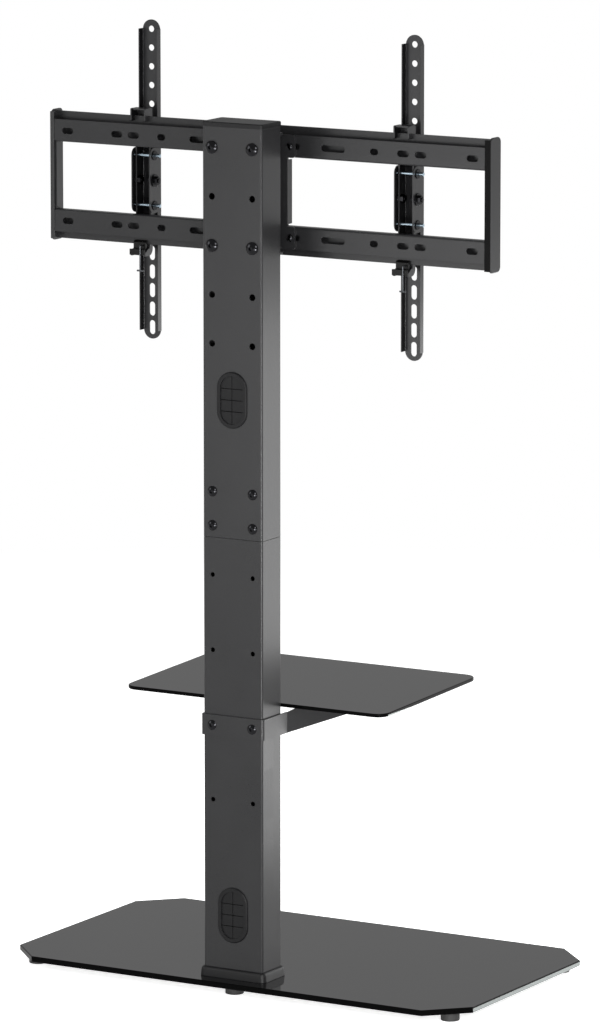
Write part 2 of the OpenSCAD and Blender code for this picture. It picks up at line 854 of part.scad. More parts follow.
module mount_nuts() {
    color(bolt_black) for (i = bracket_rows, s = [-1, 1])
        translate([s*hole_x, column_front - swivel_t, upper_row(i)]) rotate([90, 0, 0])
            hex_nut(nut_across, nut_h, bolt_d + bolt_gap);
}

module pivot_bolts() {
    shank = swivel_t + washer_t + running_gap + swivel_t + pivot_nut_gap + pivot_nut_h;
    color(bolt_black) both_ends() translate([0, 0, lug_bottom + swivel_t]) {
        cylinder(d = pivot_across/cos(30), h = pivot_head_h, $fn = 6);
        translate([0, 0, -shank]) cylinder(d = pivot_d, h = shank + pivot_head_h/2);
    }
}

module pivot_nuts() {
    color(bolt_black) both_ends()
        translate([0, 0, head_half - swivel_t - pivot_nut_gap - pivot_nut_h])
            hex_nut(pivot_across, pivot_nut_h, pivot_d + bolt_gap);
}

module friction_washers() {
    color(nylon) both_ends() translate([0, 0, lug_bottom - washer_t])
        flat_washer(2*lug_r, washer_t, pivot_d + 2*bolt_gap);
}

// Swivel head

module swivel_plate() {
    ear_r = 4;
    gap_h = 2*head_half - 2*rail_h;
    color(powder_black) difference() {
        union() {
            translate([0, rail_back + swivel_t/2, head_mid]) along_y(swivel_t) {
                square([swivel_w, 2*head_half], center = true);
                for (s = [-1, 1]) translate([0, s*(head_half - rail_h/2)])
                    rounded(swivel_ear_w, rail_h, ear_r);
            }
            translate([0, 0, head_mid - gap_h/2 + swivel_t]) linear_extrude(gap_h - 2*swivel_t)
                for (s = [-1, 1])
                    translate([s*(swivel_w - swivel_t)/2, rail_back + swivel_t - head_flange/2])
                        square([swivel_t, head_flange], center = true);
            both_ends() translate([0, 0, head_half - swivel_t]) linear_extrude(swivel_t) {
                polygon([[-head_lug_w/2, -swivel_offset], [head_lug_w/2, -swivel_offset],
                         [lug_r, 0], [-lug_r, 0]]);
                circle(lug_r);
            }
        }
        both_ends() cylinder(r = pivot_d/2 + play, h = head_half + cut);
        for (z = [upper_slot_z, lower_slot_z], s = [-1, 1])
            rod_y(s*ear_bolt_x, rail_back, z, small_bolt_d + 2*bolt_gap, 4*swivel_t);
    }
}

// A channel rail: slotted web at the rear, inner flange, and the taller hook wall in front.
// It is drawn with its lip up; the lower rail is the same piece turned over.
module rail() {
    middle = [[-rail_t/2, rail_h/2], [-rail_t/2, -rail_h/2 + rail_t/2],
              [-rail_depth + rail_t/2, -rail_h/2 + rail_t/2],
              [-rail_depth + rail_t/2, rail_h/2 + rail_lip]];
    slot_l = rail_slot_h*slot_length_shares;
    difference() {
        along_x(2*rail_half) folded(middle, rail_bend, rail_t);
        for (i = [0 : len(slot_l) - 1], s = [-1, 1])
            translate([s*slot_place_shares[i]*rail_half, -rail_t/2, 0]) along_y(rail_t + 2*cut)
                rotate(90) obround(rail_slot_h, slot_l[i]);
        for (s = [-1, 1])
            rod_y(s*ear_bolt_x, -rail_t/2, 0, small_bolt_d + 2*bolt_gap, rail_t + 2*cut);
    }
}

module upper_rail() {
    color(powder_black) translate([0, rail_back, upper_slot_z]) rail();
}

module lower_rail() {
    color(powder_black) translate([0, rail_back, lower_slot_z]) mirror([0, 0, 1]) rail();
}

// End cap: a rounded outer plate, plugs in both rails and a neck between them
module end_cap() {
    plug_d = rail_depth - 2*rail_t - 2*plug_gap;
    plug_h = rail_h - 2*rail_t - 2*plug_gap;
    gap_h = 2*head_half - 2*rail_h;
    plug_y = rail_back - rail_t - plug_gap - plug_d/2;
    hull() {
        translate([(end_cap_t - cap_bevel)/2, rail_back - end_cap_d/2, head_mid])
            along_x(end_cap_t - cap_bevel) rounded(end_cap_d, end_cap_h, cap_corner);
        translate([end_cap_t/2, rail_back - end_cap_d/2, head_mid]) along_x(end_cap_t)
            rounded(end_cap_d - 2*cap_bevel, end_cap_h - 2*cap_bevel, cap_corner - cap_bevel);
    }
    for (z = [upper_slot_z, lower_slot_z])
        translate([-plug_len/2, plug_y, z]) along_x(plug_len) rounded(plug_d, plug_h, rail_t/2);
    translate([-cap_neck/2, rail_back - rail_t - plug_gap - plug_d/2, head_mid]) along_x(cap_neck)
        square([plug_d, gap_h - 2*plug_gap], center = true);
}

module left_end_cap() {
    color(plastic_black) translate([rail_half, 0, 0]) end_cap();
}

module right_end_cap() {
    color(plastic_black) mirror([1, 0, 0]) translate([rail_half, 0, 0]) end_cap();
}

module rail_bolts() {
    color(bolt_black) for (z = [upper_slot_z, lower_slot_z], s = [-1, 1])
        translate([s*ear_bolt_x, rail_back + swivel_t, z]) rotate([-90, 0, 0])
            dome_bolt(small_bolt_d, swivel_t + rail_t + small_nut_h, small_nut_across, small_head_h,
                      small_socket, small_head_h/2);
}

module rail_nuts() {
    color(bolt_black) for (z = [upper_slot_z, lower_slot_z], s = [-1, 1])
        translate([s*ear_bolt_x, rail_back - rail_t, z]) rotate([90, 0, 0])
            hex_nut(small_nut_across, small_nut_h, small_bolt_d + bolt_gap);
}

// Arms and their brackets, drawn at x = 0 and placed on each side

// Outline of one side plate of a hook bracket, in (y, z)
module hook_profile() {
    strip_z = pivot_z + strip_start;
    low_strip_z = pivot_z - strip_start;
    nose_z = head_top + nose_lift;
    // strips in front of the rails
    translate([strip_front, strip_z - cut])
        square([hook_strip, hook_top - hook_round - strip_z + cut]);
    translate([strip_front, claw_top]) square([hook_strip, low_strip_z + cut - claw_top]);
    // belly that carries the tilt pivot and the pins
    translate([pivot_y, pivot_z])
        polygon([[-belly_front, -belly_half], [-belly_front, belly_half],
                 [strip_front - pivot_y, belly_half + belly_taper],
                 [belly_rear, belly_half + belly_taper],
                 [belly_rear, -belly_half - belly_taper],
                 [strip_front - pivot_y, -belly_half - belly_taper]]);
    // hook over the lip of the upper rail, and its nose behind the lip
    translate([strip_front, lip_top + running_gap])
        square([hook_rear - strip_front, hook_rise - hook_round]);
    translate([strip_front + hook_round, hook_top - hook_round - cut])
        square([hook_rear - strip_front - 2*hook_round, hook_round + cut]);
    for (y = [strip_front + hook_round, hook_rear - hook_round])
        translate([y, hook_top - hook_round]) circle(hook_round);
    translate([nose_front, nose_z + hook_round])
        square([hook_nose, lip_top + running_gap + cut - nose_z - hook_round]);
    translate([nose_front + hook_round, nose_z])
        square([hook_nose - 2*hook_round, hook_round + cut]);
    for (y = [nose_front + hook_round, hook_rear - hook_round])
        translate([y, nose_z + hook_round]) circle(hook_round);
    // claw under the lip of the lower rail
    intersection() {
        translate([strip_front + claw_h, claw_top]) circle(claw_h);
        translate([strip_front, claw_top - claw_h]) square(claw_h);
    }
    translate([0, claw_top])
        polygon([[strip_front + claw_h - cut/2, 0], [strip_front + claw_h - cut/2, -claw_h],
                 [claw_rear - hook_round, -claw_h], [claw_rear, hook_round - claw_h],
                 [claw_rear, -claw_fall - hook_round], [claw_rear - hook_round, -claw_fall],
                 [strip_rear + claw_fillet + cut, 0]]);
    for (z = [claw_top - claw_fall - hook_round, claw_top - claw_h + hook_round])
        translate([claw_rear - hook_round, z]) circle(hook_round);
    difference() {
        translate([strip_rear - cut, claw_top - cut]) square(claw_fillet + cut);
        translate([strip_rear + claw_fillet, claw_top + claw_fillet]) circle(claw_fillet);
    }
}

module hook_bracket() {
    inner = 2*(hook_half - hook_t);
    color(powder_black) difference() {
        union() {
            for (s = [-1, 1]) translate([s*(hook_half - hook_t/2), 0, 0]) along_x(hook_t) hook_profile();
            // folded strip across the front and the top, and the lower front strip
            along_x(inner + hook_t) {
                polygon([[strip_front, hook_top - hook_rise - front_bridge_h],
                         [strip_front, hook_top - hook_round], [strip_front + hook_round, hook_top],
                         [hook_rear - hook_round, hook_top],
                         [hook_rear - hook_round, hook_top - bridge_t],
                         [strip_front + bridge_t, hook_top - bridge_t],
                         [strip_front + bridge_t, hook_top - hook_rise - front_bridge_h]]);
                translate([strip_front, lip_bottom + hook_round]) square([bridge_t, front_bridge_h]);
            }
        }
        for (s = [-1, 1])
            rod_x(0, pivot_y, pivot_z + s*pin_radius, pin_d + 2*pin_gap, 2*arm_w);
        rod_x(0, pivot_y, pivot_z, tilt_bolt_d + 2*bolt_gap, 2*arm_w);
    }
}

module tilt_pins() {
    length = arm_w + pin_out + pin_in;
    color(zinc) for (s = [-1, 1])
        rod_x((pin_in - pin_out)/2, pivot_y, pivot_z + s*pin_radius, pin_d, length);
}

// Tilt pivot: two short bolts on one line. One has its nut inside and a low head outside,
// the other its head inside and a washer and a nut outside; each has a spacer.
module tilt_bolts() {
    inner = hook_half - hook_t;
    outer = arm_w/2 + nest_gap;
    color(bolt_black) {
        for (s = [0, 1]) mirror([s, 0, 0]) translate([0, pivot_y, pivot_z]) rotate([0, 90, 0])
            translate([0, 0, hook_half])
                flat_washer(tilt_spacer_d, tilt_spacer_t, tilt_bolt_d + bolt_gap);
        translate([0, pivot_y, pivot_z]) rotate([0, 90, 0]) {
            translate([0, 0, outer]) cylinder(d = tilt_low_head_d, h = tilt_low_head_h);
            translate([0, 0, inner - tilt_nut_h - tilt_tail])
                cylinder(d = tilt_bolt_d,
                         h = outer - inner + tilt_nut_h + tilt_tail + tilt_low_head_h/2);
            translate([0, 0, inner - tilt_nut_h])
                hex_nut(small_nut_across, tilt_nut_h, tilt_bolt_d + bolt_gap);
        }
        translate([0, pivot_y, pivot_z]) rotate([0, -90, 0]) {
            translate([0, 0, inner - tilt_head_h]) cylinder(d = tilt_head_d, h = tilt_head_h);
            translate([0, 0, inner - tilt_head_h/2])
                cylinder(d = tilt_bolt_d,
                         h = outer - inner + tilt_head_h/2 + bolt_washer_t + tilt_nut_h + tilt_tail);
            translate([0, 0, outer]) flat_washer(tilt_washer_d, bolt_washer_t, tilt_bolt_d + bolt_gap);
            translate([0, 0, outer + bolt_washer_t])
                hex_nut(small_nut_across, tilt_nut_h, tilt_bolt_d + bolt_gap);
        }
    }
}

// Curved slot round the tilt pivot, for a pin that sits at the angle "at"
module pin_slot(at) {
    reach = tilt_limit + slot_slack;
    width = pin_d + 2*pin_slot_gap;
    rotate(at) {
        intersection() {
            difference() {
                circle(pin_radius + width/2);
                circle(pin_radius - width/2);
            }
            polygon([[0, 0], 2*pin_radius*[cos(reach), -sin(reach)],
                     2*pin_radius*[cos(reach), sin(reach)]]);
        }
        for (s = [-1, 1]) rotate(s*reach) translate([pin_radius, 0]) circle(d = width);
    }
}

// Outline of an arm's ear in (y, z), measured from the tilt pivot
module ear_profile() {
    translate([-arm_reach, -ear_h/2]) square([arm_reach + ear_reach - ear_round, ear_h]);
    translate([ear_reach - 2*ear_round, ear_round - ear_h/2])
        square([2*ear_round, ear_h - 2*ear_round]);
    for (s = [-1, 1])
        translate([ear_reach - ear_round, s*(ear_h/2 - ear_round)]) circle(ear_round);
}

module arm() {
    bottom = arm_top - arm_len;
    edge = web_y + arm_flange;
    first_hole = arm_top - arm_end;
    side = arm_w/2 - arm_t/2;
    color(powder_black) difference() {
        union() {
            translate([0, 0, bottom + flange_stop]) linear_extrude(arm_len - 2*flange_stop)
                folded([[-side, edge], [-side, web_y + arm_t/2], [side, web_y + arm_t/2],
                        [side, edge]], arm_t, arm_t);
            translate([0, web_y + arm_t/2, (arm_top + bottom)/2]) along_y(arm_t)
                obround(arm_w - 2*arm_t, arm_len);
            for (s = [-1, 1]) translate([s*side, pivot_y, pivot_z]) along_x(arm_t) ear_profile();
        }
        for (i = round_steps)
            rod_y(0, web_y, first_hole - i*screen_pitch, screen_hole_d, 4*arm_t);
        for (i = slot_steps)
            translate([0, web_y, first_hole - i*screen_pitch]) along_y(4*arm_t)
                obround(screen_hole_d, screen_slot_len);
        rod_x(0, pivot_y, pivot_z, tilt_bolt_d + 2*play, 2*arm_w);
        for (a = [90, 270]) translate([0, pivot_y, pivot_z]) along_x(2*arm_w) pin_slot(a);
    }
}

// Latch: a finger plate whose face covers the claw's end, a nose behind the lip,
// and a stem guided in the hook bracket
module latch() {
    width = 2*(hook_half - hook_t - latch_gap);
    front = strip_front + bridge_t + latch_gap;
    nose_y = lip_rear + running_gap;
    nose_top = lip_bottom + latch_nose_rise;
    color(plastic_black) along_x(width) {
        translate([front, claw_top - latch_t])
            square([latch_rear - latch_face_t/2 - front, latch_t]);
        translate([front, claw_top - cut]) square([strip_rear - front, latch_stem_rise + cut]);
        polygon([[nose_y, claw_top - cut], [nose_y + latch_nose_t, claw_top - cut],
                 [nose_y + latch_nose_t, nose_top - latch_nose_t/2],
                 [nose_y + latch_nose_t/2, nose_top], [nose_y, nose_top]]);
    }
    color(plastic_black) along_x(2*hook_half)
        translate([latch_rear - latch_face_t, claw_top - latch_t]) square([latch_face_t, latch_t]);
}

// Pull wire: a short leg out of the nose, a long leg down and a cross bar
module latch_wire() {
    leg_y = latch_rear + latch_gap + wire_d/2;
    leg_z = lip_bottom - wire_d/2;
    root_y = lip_rear + running_gap + latch_nose_t;
    color(zinc) {
        rod_y(wire_x, (root_y + leg_y)/2, leg_z, wire_d, leg_y - root_y);
        translate([wire_x, leg_y, leg_z]) sphere(d = wire_d);
        translate([wire_x, leg_y, leg_z - latch_wire_len]) cylinder(d = wire_d, h = latch_wire_len);
        rod_x(wire_x, leg_y, leg_z - latch_wire_len, wire_bar_d, wire_bar_len);
    }
}

module left() { translate([arm_x, 0, 0]) children(); }

module right() { translate([-arm_x, 0, 0]) children(); }

module left_hook_bracket() { left() hook_bracket(); }

module left_tilt_pins() { left() tilt_pins(); }

module left_tilt_bolts() { left() tilt_bolts(); }

module left_arm() { left() arm(); }

module left_latch() { left() latch(); }

module left_latch_wire() { left() latch_wire(); }

module right_hook_bracket() { right() hook_bracket(); }

module right_tilt_pins() { right() tilt_pins(); }

module right_tilt_bolts() { right() tilt_bolts(); }

module right_arm() { right() arm(); }

module right_latch() { right() latch(); }

module right_latch_wire() { right() latch_wire(); }

base_glass();
feet();
under_plate();
under_pad();
foot_gasket();
base_bolts();
column_collar();
lower_column();
joining_sleeve();
upper_column();
column_cap();
joint_bolts();
lower_grommet();
upper_grommet();
shelf_bracket();
shelf_bolts();
shelf_pads();
shelf_screws();
shelf_glass();
mount_bracket();
mount_bolts();
mount_nuts();
pivot_bolts();
pivot_nuts();
friction_washers();
swivel_plate();
upper_rail();
lower_rail();
left_end_cap();
right_end_cap();
rail_bolts();
rail_nuts();
left_hook_bracket();
left_tilt_pins();
left_tilt_bolts();
left_arm();
left_latch();
left_latch_wire();
right_hook_bracket();
right_tilt_pins();
right_tilt_bolts();
right_arm();
right_latch();
right_latch_wire();
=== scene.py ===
"""Looks of a floor stand for a screen: powder-coated steel, black tempered glass, moulded plastic."""

import json
import math

import bmesh
import bpy
from mathutils import Matrix, Vector

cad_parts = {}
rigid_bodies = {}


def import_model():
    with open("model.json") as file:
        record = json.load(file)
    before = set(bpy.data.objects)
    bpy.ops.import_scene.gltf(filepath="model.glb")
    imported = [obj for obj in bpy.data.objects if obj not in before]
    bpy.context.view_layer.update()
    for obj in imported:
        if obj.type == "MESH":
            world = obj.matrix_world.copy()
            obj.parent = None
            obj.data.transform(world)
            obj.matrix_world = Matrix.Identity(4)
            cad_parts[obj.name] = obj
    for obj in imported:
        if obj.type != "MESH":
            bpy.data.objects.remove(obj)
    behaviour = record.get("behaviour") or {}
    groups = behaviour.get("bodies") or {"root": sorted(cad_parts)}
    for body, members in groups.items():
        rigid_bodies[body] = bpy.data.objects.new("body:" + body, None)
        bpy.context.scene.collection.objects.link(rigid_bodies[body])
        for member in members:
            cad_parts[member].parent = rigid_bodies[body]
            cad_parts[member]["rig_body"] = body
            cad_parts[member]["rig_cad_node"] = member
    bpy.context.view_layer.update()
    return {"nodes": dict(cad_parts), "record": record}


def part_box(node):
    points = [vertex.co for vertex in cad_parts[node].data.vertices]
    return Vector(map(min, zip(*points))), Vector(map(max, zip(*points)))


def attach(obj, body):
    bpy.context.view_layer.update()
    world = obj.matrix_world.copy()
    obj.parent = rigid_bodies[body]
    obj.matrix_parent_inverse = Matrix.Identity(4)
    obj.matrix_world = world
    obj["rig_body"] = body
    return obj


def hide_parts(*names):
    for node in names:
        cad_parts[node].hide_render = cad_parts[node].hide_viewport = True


MM = 0.001
MERGE = 0.002 * MM
# How far a cutting tool runs past the face that it cuts
CLEAR = 1 * MM
# A hexagon's width across flats over its width across corners
HEX_FLATS = math.cos(math.pi / 6)
# A noise texture's values nearly all lie between these
NOISE_LOW, NOISE_HIGH = 0.3, 0.7
# Share of the wide patches in a grained surface's colour and gloss
PATCH_SHARE = 0.35
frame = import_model()
BODY_OF = {n: b for b, members in frame["record"]["behaviour"]["bodies"].items() for n in members}

# Materials


def linear(code):
    """Colour from its sRGB hex code."""
    parts = [int(code[i:i + 2], 16) / 255 for i in (1, 3, 5)]
    return (*(p / 12.92 if p <= 0.04045 else ((p + 0.055) / 1.055) ** 2.4 for p in parts), 1.0)


def add(tree, kind, settings=None, **sockets):
    """Adds a node. Each socket, named or given by its number as _0, takes a value or an output."""
    node = tree.nodes.new(kind)
    for name, value in (settings or {}).items():
        setattr(node, name, value)
    for name, value in sockets.items():
        socket = node.inputs[int(name[1:])] if name[0] == "_" else node.inputs[name.replace("_", " ")]
        if isinstance(value, bpy.types.NodeSocket):
            tree.links.new(value, socket)
        else:
            socket.default_value = value
    return node


def material(name, **surface):
    """New material with one Principled surface; returns it with its tree, shader and coordinates."""
    made = bpy.data.materials.new(name)
    made.use_nodes = True
    tree = made.node_tree
    tree.nodes.clear()
    shader = add(tree, "ShaderNodeBsdfPrincipled")
    for socket, value in surface.items():
        shader.inputs[socket.replace("_", " ")].default_value = value
    out = add(tree, "ShaderNodeOutputMaterial")
    tree.links.new(shader.outputs["BSDF"], out.inputs["Surface"])
    where = add(tree, "ShaderNodeTexCoord").outputs["Object"]
    return made, tree, shader, where


def grained(name, dark, light, grain_mm, depth_mm, rough, patch_mm=60, **surface):
    """Surface with a fine even grain, and a faint drift of colour and gloss over wider patches."""
    made, tree, shader, where = material(name, **surface)
    grain = add(tree, "ShaderNodeTexNoise", Vector=where, Scale=1 / (grain_mm * MM), Detail=3.0,
                Roughness=0.6)
    patch = add(tree, "ShaderNodeTexNoise", Vector=where, Scale=1 / (patch_mm * MM), Detail=2.0)
    both = add(tree, "ShaderNodeMix", {"data_type": "FLOAT"}, _0=PATCH_SHARE,
               _2=grain.outputs["Fac"], _3=patch.outputs["Fac"])
    tint = add(tree, "ShaderNodeMapRange", Value=both.outputs[0], From_Min=NOISE_LOW,
               From_Max=NOISE_HIGH)
    mixed = add(tree, "ShaderNodeMix", {"data_type": "RGBA"}, _0=tint.outputs["Result"],
                _6=linear(dark), _7=linear(light))
    gloss = add(tree, "ShaderNodeMapRange", Value=both.outputs[0], From_Min=NOISE_LOW,
                From_Max=NOISE_HIGH, To_Min=rough[0], To_Max=rough[1])
    bump = add(tree, "ShaderNodeBump", Height=grain.outputs["Fac"], Strength=1.0,
               Distance=depth_mm * MM)
    tree.links.new(mixed.outputs[2], shader.inputs["Base Color"])
    tree.links.new(gloss.outputs["Result"], shader.inputs["Roughness"])
    tree.links.new(bump.outputs["Normal"], shader.inputs["Normal"])
    return made


# Polyester powder coat over steel sheet, baked: a tight satin grain that takes soft wide lights.
# The real grain is 0.3 mm; it is drawn at 1.1 mm so that it shows.
powder = grained("fine_texture_powder_coat", "#1b1b1c", "#222223", 1.1, 0.02, (0.27, 0.34), IOR=1.5,
                 Specular_IOR_Level=0.42)
# The same coat on the small sheet parts of the arms, where it lies a little finer
powder_small = grained("fine_texture_powder_coat_small_parts", "#18181a", "#202021", 0.9, 0.018,
                       (0.26, 0.34), patch_mm=30, IOR=1.5)
# The same coat drawn near black and matt on the inner side of the arms' far flange: painted shade for
# the dark that this side mirrors between the flanges
powder_painted_shade = grained("fine_texture_powder_coat_painted_shade", "#080809", "#0d0d0e", 0.9, 0.018,
                       (0.4, 0.5), patch_mm=30, IOR=1.5, Specular_IOR_Level=0.16)
# ABS of the rails' end caps, injection moulded in a spark-eroded tool: even fine matt grain
abs_plastic = grained("moulded_ABS", "#19191a", "#202021", 0.8, 0.015, (0.36, 0.44), IOR=1.53)
# ABS of the column's collar and cap: blacker, with hardly any gloss
abs_matt = grained("moulded_ABS_matt", "#0b0b0c", "#111112", 0.8, 0.02, (0.38, 0.46), IOR=1.53,
                   Specular_IOR_Level=0.28)
# Black matt lip of the right end cap: painted shade where its rear strip lies dark
lip_painted_shade = grained("end_cap_lip_painted_shade", "#050505", "#090909", 1.0, 0.02, (0.6, 0.7), IOR=1.5,
                     Specular_IOR_Level=0.12)
# Acetal of the latches: deep black with a low waxy gloss
acetal = grained("moulded_acetal", "#050505", "#0b0b0b", 0.8, 0.01, (0.32, 0.4), IOR=1.48,
                 Specular_IOR_Level=0.25)
# Thermoplastic elastomer of the cable grommets: soft and matt
elastomer = grained("moulded_elastomer", "#0c0c0d", "#141415", 1.2, 0.02, (0.4, 0.5), patch_mm=18,
                    IOR=1.5, Specular_IOR_Level=0.24)
# Natural and nitrile rubber of feet, pads and gaskets: matt, slightly dusty
rubber = grained("moulded_rubber", "#2c2c2c", "#3a3a3a", 1.5, 0.03, (0.6, 0.75), patch_mm=12, IOR=1.52)
# Polyamide washers, milky and waxy
nylon = grained("natural_polyamide", "#c9c9c4", "#d8d8d3", 1.5, 0.01, (0.35, 0.45), IOR=1.53,
                Subsurface_Weight=0.1)


def float_glass(name, face, rough, **surface):
    """Tempered float glass painted black behind: flat and sharp, with the faintest roller wave."""
    wave_mm, depth_mm, hazier = 90, 0.01, 1.6
    made, tree, shader, where = material(name, Roughness=rough, IOR=1.52, **surface)
    wave = add(tree, "ShaderNodeTexNoise", Vector=where, Scale=1 / (wave_mm * MM), Detail=1.0)
    haze = add(tree, "ShaderNodeMapRange", Value=wave.outputs["Fac"], From_Min=NOISE_LOW,
               From_Max=NOISE_HIGH, To_Min=rough, To_Max=rough * hazier)
    tree.links.new(haze.outputs["Result"], shader.inputs["Roughness"])
    bump = add(tree, "ShaderNodeBump", Height=wave.outputs["Fac"], Strength=0.4,
               Distance=depth_mm * MM)
    tree.links.new(bump.outputs["Normal"], shader.inputs["Normal"])
    shader.inputs["Base Color"].default_value = linear(face)
    return made


glass_face = float_glass("black_tempered_glass", "#0c0c0d", 0.035)
# The seamed edges are drawn deep black with hardly any gloss: painted shade for the dark that they
# mirror. On the two ends, below a black band, the lower part of the edge is drawn pale: a painted
# reflection of light in the polished glass.
glass_edge_painted_shade = float_glass("seamed_edge_painted_shade", "#030303", 0.12, Specular_IOR_Level=0.04)
glass_end_painted_reflection = float_glass("polished_end_painted_reflection", "#8b908e", 0.09)


def plated(name, code, rough, brush_mm, **surface):
    """Electroplated steel: a clear metal with fine turning marks."""
    depth_mm, smoothest, roughest = 0.01, 0.8, 1.25
    made, tree, shader, where = material(name, Metallic=1.0, **surface)
    marks = add(tree, "ShaderNodeTexNoise", Vector=where, Scale=1 / (brush_mm * MM), Detail=4.0)
    gloss = add(tree, "ShaderNodeMapRange", Value=marks.outputs["Fac"], From_Min=NOISE_LOW,
                From_Max=NOISE_HIGH, To_Min=rough * smoothest, To_Max=rough * roughest)
    bump = add(tree, "ShaderNodeBump", Height=marks.outputs["Fac"], Strength=0.5,
               Distance=depth_mm * MM)
    tree.links.new(gloss.outputs["Result"], shader.inputs["Roughness"])
    tree.links.new(bump.outputs["Normal"], shader.inputs["Normal"])
    shader.inputs["Base Color"].default_value = linear(code)
    return made


# Zinc plate with blue passivation on the cross pins: bright and a little cool
zinc = plated("blue_passivated_zinc", "#b4c6d2", 0.22, 1.2)
# Phosphated spring steel of the pull wires: a dull mid grey
spring_steel = plated("phosphated_spring_steel", "#5c5e61", 0.34, 0.8)
# Black-passivated zinc on the bolts and nuts: dark, with small sharp lights
black_zinc = plated("black_passivated_zinc", "#2d2d2f", 0.12, 1.5)
# The same plate under oil, on the tilt bolts and the push nuts: darker, with softer lights
oiled_zinc = plated("black_passivated_zinc_oiled", "#2a2a2c", 0.2, 1.5)

# Modelling


def deselect():
    """Leaves nothing selected, in Object Mode."""
    if bpy.context.mode != "OBJECT":
        bpy.ops.object.mode_set(mode="OBJECT")
    bpy.ops.object.select_all(action="DESELECT")


def take(piece):
    """Makes piece the only selected and active object."""
    deselect()
    piece.hide_set(False)
    piece.select_set(True)
    bpy.context.view_layer.objects.active = piece


def modify(piece, kind, **settings):
    """Adds a modifier and applies it."""
    take(piece)
    made = piece.modifiers.new(kind.title(), kind)
    for name, value in settings.items():
        setattr(made, name, value)
    bpy.ops.object.modifier_apply(modifier=made.name)


def smooth(piece, angle=35):
    """Smooth shading across small angles, with flat faces kept flat."""
    take(piece)
    bpy.ops.object.shade_smooth_by_angle(angle=math.radians(angle), keep_sharp_edges=False)
    modify(piece, "WEIGHTED_NORMAL", mode="FACE_AREA", keep_sharp=True)


def bevel(piece, width_mm, segments=2, angle=40):
    """Breaks the edges that are sharper than angle."""
    modify(piece, "BEVEL", width=width_mm * MM, segments=segments, limit_method="ANGLE",
           angle_limit=math.radians(angle), use_clamp_overlap=True, miter_outer="MITER_ARC")


def finish_piece(piece, name, nodes, finish):
    """Names a piece, gives it its material and body, and lets it stand for its CAD nodes."""
    piece.name = piece.data.name = name
    piece.data.materials.clear()
    piece.data.materials.append(finish)
    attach(piece, BODY_OF[nodes[0]])
    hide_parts(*nodes)
    return piece


def merged_copy(node):
    """Copy of a CAD node with its loose triangles merged into flat faces."""
    flat = math.radians(0.3)
    take(frame["nodes"][node])
    bpy.ops.object.duplicate()
    piece = bpy.context.view_layer.objects.active
    piece.parent = None
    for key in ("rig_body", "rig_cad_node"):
        del piece[key]
    bpy.ops.object.mode_set(mode="EDIT")
    bpy.ops.mesh.select_all(action="SELECT")
    bpy.ops.mesh.remove_doubles(threshold=MERGE)
    bpy.ops.mesh.dissolve_limited(angle_limit=flat)
    bpy.ops.object.mode_set(mode="OBJECT")
    return piece


def softened(node, finish, edge_mm, name=None, angle=40, shade=35):
    """The CAD node's own shape with its sharp edges broken, as pressed and coated edges are."""
    piece = merged_copy(node)
    if edge_mm:
        bevel(piece, edge_mm, angle=angle)
    smooth(piece, shade)
    return finish_piece(piece, name or node + "_finished", [node], finish)


def solids(node):
    """Boxes of the separate solids in a CAD node, each as (lowest, highest) corner."""
    mesh = bmesh.new()
    mesh.from_mesh(frame["nodes"][node].data)
    bmesh.ops.remove_doubles(mesh, verts=mesh.verts, dist=MERGE)
    left, boxes = set(mesh.verts), []
    while left:
        stack, seen = [left.pop()], []
        while stack:
            vert = stack.pop()
            seen.append(vert.co.copy())
            for edge in vert.link_edges:
                other = edge.other_vert(vert)
                if other in left:
                    left.remove(other)
                    stack.append(other)
        boxes.append((Vector(map(min, *seen)), Vector(map(max, *seen))))
    mesh.free()
    return sorted(boxes, key=lambda b: tuple(b[0]))


def joined(pieces):
    """Joins finished pieces into one."""
    deselect()
    for piece in pieces:
        piece.select_set(True)
    bpy.context.view_layer.objects.active = pieces[0]
    bpy.ops.object.join()
    return bpy.context.view_layer.objects.active


def place(piece, matrix):
    """Moves a mesh, not its object."""
    piece.data.transform(matrix)
    piece.data.update()
    return piece


def copied(piece, matrix):
    """Copy of a piece with its mesh moved."""
    take(piece)
    bpy.ops.object.duplicate()
    return place(bpy.context.view_layer.objects.active, matrix)


def cylinder(radius, low, high, vertices):
    """Cylinder on the Z axis from low to high, with its place in its mesh."""
    deselect()
    bpy.ops.mesh.primitive_cylinder_add(vertices=vertices, radius=radius, depth=high - low,
                                        location=(0, 0, (low + high) / 2))
    piece = bpy.context.view_layer.objects.active
    bpy.ops.object.transform_apply(location=True)
    return piece


def block(low, high):
    """Box between two corners, with its place in its mesh."""
    low, high = Vector(low), Vector(high)
    deselect()
    bpy.ops.mesh.primitive_cube_add(size=1, location=(low + high) / 2)
    piece = bpy.context.view_layer.objects.active
    piece.scale = high - low
    bpy.ops.object.transform_apply(location=True, scale=True)
    return piece


def cut_out(piece, tool):
    """Boolean difference; the tool is used up."""
    modify(piece, "BOOLEAN", object=tool, operation="DIFFERENCE", solver="EXACT")
    bpy.data.objects.remove(tool)


def kept_in(piece, tool):
    """Boolean intersection; the tool is used up."""
    modify(piece, "BOOLEAN", object=tool, operation="INTERSECT", solver="EXACT")
    bpy.data.objects.remove(tool)


def rim_bevelled(piece, z, offset, segments):
    """Bevels the edges of a piece that lie at height z."""
    level = 0.001 * MM
    take(piece)
    bpy.ops.object.mode_set(mode="EDIT")
    bpy.ops.mesh.select_all(action="DESELECT")
    mesh = bmesh.from_edit_mesh(piece.data)
    for edge in mesh.edges:
        if all(abs(v.co.z - z) < level for v in edge.verts):
            edge.select_set(True)
    bmesh.update_edit_mesh(piece.data)
    bpy.ops.mesh.bevel(offset=offset, segments=segments, profile=0.5)
    bpy.ops.object.mode_set(mode="OBJECT")


